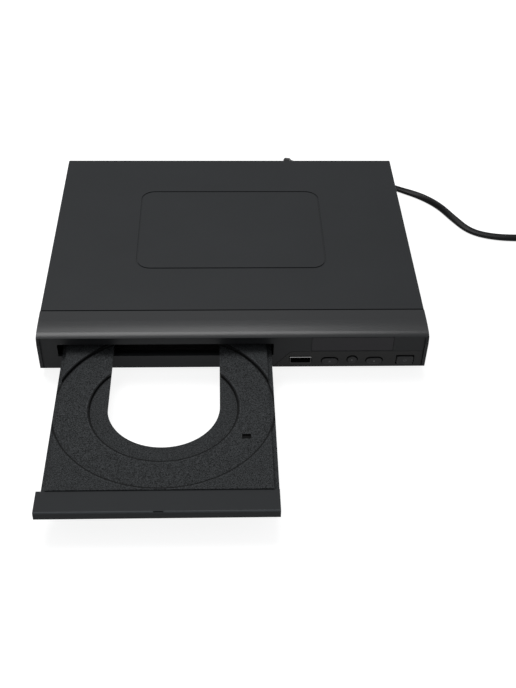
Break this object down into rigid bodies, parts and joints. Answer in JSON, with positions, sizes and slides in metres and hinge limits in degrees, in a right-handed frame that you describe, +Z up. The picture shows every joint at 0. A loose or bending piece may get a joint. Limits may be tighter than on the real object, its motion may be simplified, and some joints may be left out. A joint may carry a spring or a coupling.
{
  "type": "dvd player with tray",
  "caption": "Slim disc player with a motor-driven tray shown open, front buttons, a smoked display window, a USB socket and a mains cord.",
  "frame": {"origin": "on the table, below the middle of the whole object with its tray open, the loose cord left aside", "axes": "+X to the viewer's right across the case, +Y to the back, +Z up; the tray opens towards -Y"},
  "size_m": [0.4125, 0.3574, 0.031],
  "materials": {
    "case": "fine matt dark grey paint",
    "bezel": "satin dark grey moulding",
    "window": "smoked gloss plastic",
    "panel": "satin dark grey moulding",
    "button": "satin dark grey moulding",
    "tray": "fine textured dark moulding",
    "door": "satin dark moulding",
    "rubber": "matt black rubber",
    "steel": "plain zinc plated steel",
    "screw": "dark plated steel",
    "board": "green solder mask",
    "chip": "black epoxy",
    "can": "sleeved aluminium can",
    "core": "taped winding and ferrite",
    "jack": "black moulding",
    "jack_ring": "nickel plated ring",
    "cable": "white flat film cable",
    "loader": "black glass-filled moulding",
    "nylon": "natural acetal",
    "magnet": "sintered magnet",
    "lens": "clear coated lens",
    "cord": "black flexible sheath",
    "brass": "plain brass"
  },
  "bodies": {
    "case": {"top_cover": "case", "bottom_chassis": "steel", "rear_panel": "case", "front_bezel": "bezel", "display_window": "window", "control_panel": "panel", "feet": "rubber", "case_screws": "screw", "front_board": "board", "front_screws": "screw", "tact_switches": "chip", "display_module": "chip", "ir_receiver": "chip", "usb_shell": "steel", "usb_tongue": "jack", "main_board": "board", "power_board": "board", "board_screws": "screw", "main_chips": "chip", "capacitors": "can", "transformer": "core", "av_jack_block": "jack", "av_jack_rings": "jack_ring", "hdmi_socket": "steel", "pickup_cable": "cable", "loader_chassis": "loader", "loader_screws": "screw", "clamp_bridge": "steel", "bridge_screws": "screw", "loader_motor": "steel", "drive_belt": "rubber", "tray_switch": "jack", "strain_relief": "cord", "power_cord": "cord", "cord_coil": "cord", "cord_tie": "jack", "mains_plug": "cord", "plug_blades": "brass"},
    "tray": {"disc_tray": "tray", "tray_door": "door"},
    "drive_gear": {"drive_gear": "nylon"},
    "pulley_gear": {"pulley_gear": "nylon"},
    "motor_pulley": {"motor_pulley": "nylon"},
    "cam_slider": {"cam_slider": "nylon"},
    "traverse": {"traverse_frame": "loader", "spindle_motor": "steel", "sled_motor": "steel", "guide_rods": "steel"},
    "turntable": {"turntable": "nylon", "turntable_pad": "rubber"},
    "lead_screw": {"lead_screw": "steel"},
    "sled": {"pickup_body": "magnet"},
    "lens": {"lens_holder": "nylon", "objective_lens": "lens"},
    "clamper": {"clamper": "nylon", "clamper_magnet": "magnet"},
    "open_button": {"open_button": "button"},
    "play_button": {"play_button": "button"},
    "stop_button": {"stop_button": "button"},
    "power_button": {"power_button": "button"}
  },
  "joints": [
    {"name": "tray_slide", "type": "slide", "parent": "case", "child": "tray", "axis": [0, 1, 0], "range_m": [0, 0.1217]},
    {"name": "drive_gear_spin", "type": "hinge", "parent": "case", "child": "drive_gear", "pos_m": [0.0105, -0.0003, 0.013], "axis": [0, 0, 1], "range_deg": [0, 1162.15]},
    {"name": "pulley_gear_spin", "type": "hinge", "parent": "case", "child": "pulley_gear", "pos_m": [0.0245, -0.0003, 0.012], "axis": [0, 0, 1], "range_deg": [-3486.45, 0]},
    {"name": "motor_pulley_spin", "type": "hinge", "parent": "case", "child": "motor_pulley", "pos_m": [0.038, 0.0297, 0.013], "axis": [0, 0, 1], "range_deg": [-13074.18, 0]},
    {"name": "cam_slide", "type": "slide", "parent": "case", "child": "cam_slider", "axis": [1, 0, 0], "range_m": [0, 0.012]},
    {"name": "traverse_tilt", "type": "hinge", "parent": "case", "child": "traverse", "pos_m": [-0.0386, 0.0961, 0.0118], "axis": [-1, 0, 0], "range_deg": [0, 3.2]},
    {"name": "spindle_spin", "type": "hinge", "parent": "traverse", "child": "turntable", "pos_m": [-0.0386, 0.03381, 0.01533], "axis": [0, -0.0558, 0.9984], "continuous": true},
    {"name": "clamper_spin", "type": "hinge", "parent": "case", "child": "clamper", "pos_m": [-0.0386, 0.0341, 0.024], "axis": [0, 0, 1], "continuous": true},
    {"name": "sled_slide", "type": "slide", "parent": "traverse", "child": "sled", "axis": [0, 0.9984, 0.0558], "range_m": [0, 0.034]},
    {"name": "lead_screw_spin", "type": "hinge", "parent": "traverse", "child": "lead_screw", "pos_m": [-0.0136, 0.07, 0.01294], "axis": [0, 0.9984, 0.0558], "range_deg": [0, 4080]},
    {"name": "lens_focus", "type": "slide", "parent": "sled", "child": "lens", "axis": [0, -0.0558, 0.9984], "range_m": [-0.0004, 0.0004], "stiffness_N_per_m": 40},
    {"name": "open_press", "type": "slide", "parent": "case", "child": "open_button", "axis": [0, 0.9952, 0.0976], "range_m": [0, 0.0005], "stiffness_N_per_m": 1500},
    {"name": "play_press", "type": "slide", "parent": "case", "child": "play_button", "axis": [0, 0.9952, 0.0976], "range_m": [0, 0.0005], "stiffness_N_per_m": 1500},
    {"name": "stop_press", "type": "slide", "parent": "case", "child": "stop_button", "axis": [0, 0.9952, 0.0976], "range_m": [0, 0.0005], "stiffness_N_per_m": 1500},
    {"name": "power_press", "type": "slide", "parent": "case", "child": "power_button", "axis": [0, 0.9952, 0.0976], "range_m": [0, 0.0005], "stiffness_N_per_m": 1500}
  ],
  "couplings": [
    {"joint": "drive_gear_spin", "follows": "tray_slide", "rad_per_m": 166.67},
    {"joint": "pulley_gear_spin", "follows": "tray_slide", "rad_per_m": -500},
    {"joint": "motor_pulley_spin", "follows": "tray_slide", "rad_per_m": -1875},
    {"joint": "traverse_tilt", "follows": "cam_slide", "rad_per_m": 4.6542},
    {"joint": "lead_screw_spin", "follows": "sled_slide", "rad_per_m": 2094.4}
  ]
}
